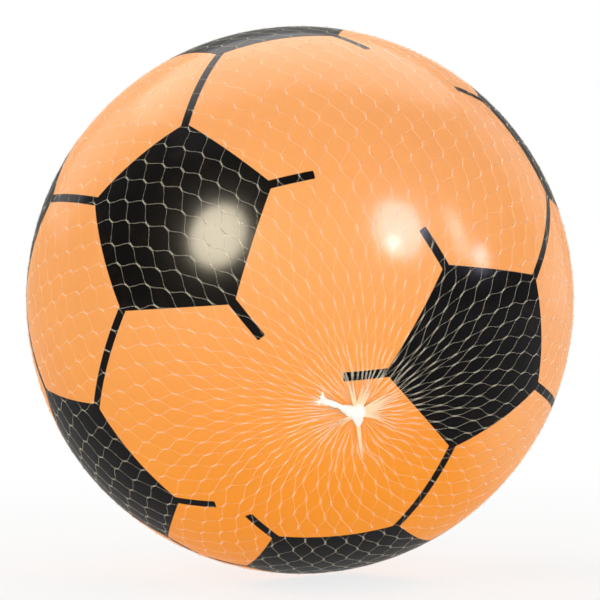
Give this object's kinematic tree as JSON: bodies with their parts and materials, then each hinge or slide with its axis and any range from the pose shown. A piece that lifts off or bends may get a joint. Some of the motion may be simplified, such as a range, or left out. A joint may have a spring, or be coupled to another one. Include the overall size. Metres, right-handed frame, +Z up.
{
  "type": "rubber soccer ball in a net bag",
  "caption": "Hollow moulded rubber play ball with a printed pattern of black pentagons and lines, a plug valve, and a tight diamond net gathered at both ends.",
  "frame": {"origin": "on the ground, under the ball's centre", "axes": "+Z up; the picture's camera looks along +Y, with +X to its right"},
  "size_m": [0.2256, 0.2256, 0.223],
  "materials": {
    "skin_rubber": "glossy moulded rubber",
    "print_ink": "glossy black print",
    "net_plastic": "satin extruded strand",
    "valve_rubber": "satin moulded rubber",
    "plug_plastic": "satin moulded"
  },
  "bodies": {
    "ball": {"ball_skin": "skin_rubber", "valve_seat": "valve_rubber", "pentagon_centre_left": "print_ink", "pentagon_1_left": "print_ink", "pentagon_2_left": "print_ink", "pentagon_3_left": "print_ink", "pentagon_4_left": "print_ink", "pentagon_5_left": "print_ink", "spoke_1_left": "print_ink", "spoke_2_left": "print_ink", "spoke_3_left": "print_ink", "spoke_4_left": "print_ink", "spoke_5_left": "print_ink", "rim_line_1_left": "print_ink", "rim_line_2_left": "print_ink", "rim_line_3_left": "print_ink", "rim_line_4_left": "print_ink", "rim_line_5_left": "print_ink", "line_end_1a_left": "print_ink", "line_end_1b_left": "print_ink", "line_end_2a_left": "print_ink", "line_end_2b_left": "print_ink", "line_end_3a_left": "print_ink", "line_end_3b_left": "print_ink", "line_end_4a_left": "print_ink", "line_end_4b_left": "print_ink", "line_end_5a_left": "print_ink", "line_end_5b_left": "print_ink", "pentagon_centre_right": "print_ink", "pentagon_1_right": "print_ink", "pentagon_2_right": "print_ink", "pentagon_3_right": "print_ink", "pentagon_4_right": "print_ink", "pentagon_5_right": "print_ink", "spoke_1_right": "print_ink", "spoke_2_right": "print_ink", "spoke_3_right": "print_ink", "spoke_4_right": "print_ink", "spoke_5_right": "print_ink", "rim_line_1_right": "print_ink", "rim_line_2_right": "print_ink", "rim_line_3_right": "print_ink", "rim_line_4_right": "print_ink", "rim_line_5_right": "print_ink", "line_end_1a_right": "print_ink", "line_end_1b_right": "print_ink", "line_end_2a_right": "print_ink", "line_end_2b_right": "print_ink", "line_end_3a_right": "print_ink", "line_end_3b_right": "print_ink", "line_end_4a_right": "print_ink", "line_end_4b_right": "print_ink", "line_end_5a_right": "print_ink", "line_end_5b_right": "print_ink"},
    "net": {"net_bag": "net_plastic", "front_gather": "net_plastic", "rear_gather": "net_plastic"},
    "plug": {"valve_plug": "plug_plastic"}
  },
  "joints": [
    {"name": "net_turn", "type": "hinge", "parent": "ball", "child": "net", "pos_m": [0, 0, 0.11101], "axis": [0.1825, -0.9131, -0.3646], "continuous": true},
    {"name": "plug_pull", "type": "slide", "parent": "ball", "child": "plug", "axis": [0.136, 0.4422, 0.8865], "range_m": [0, 0.016]}
  ]
}
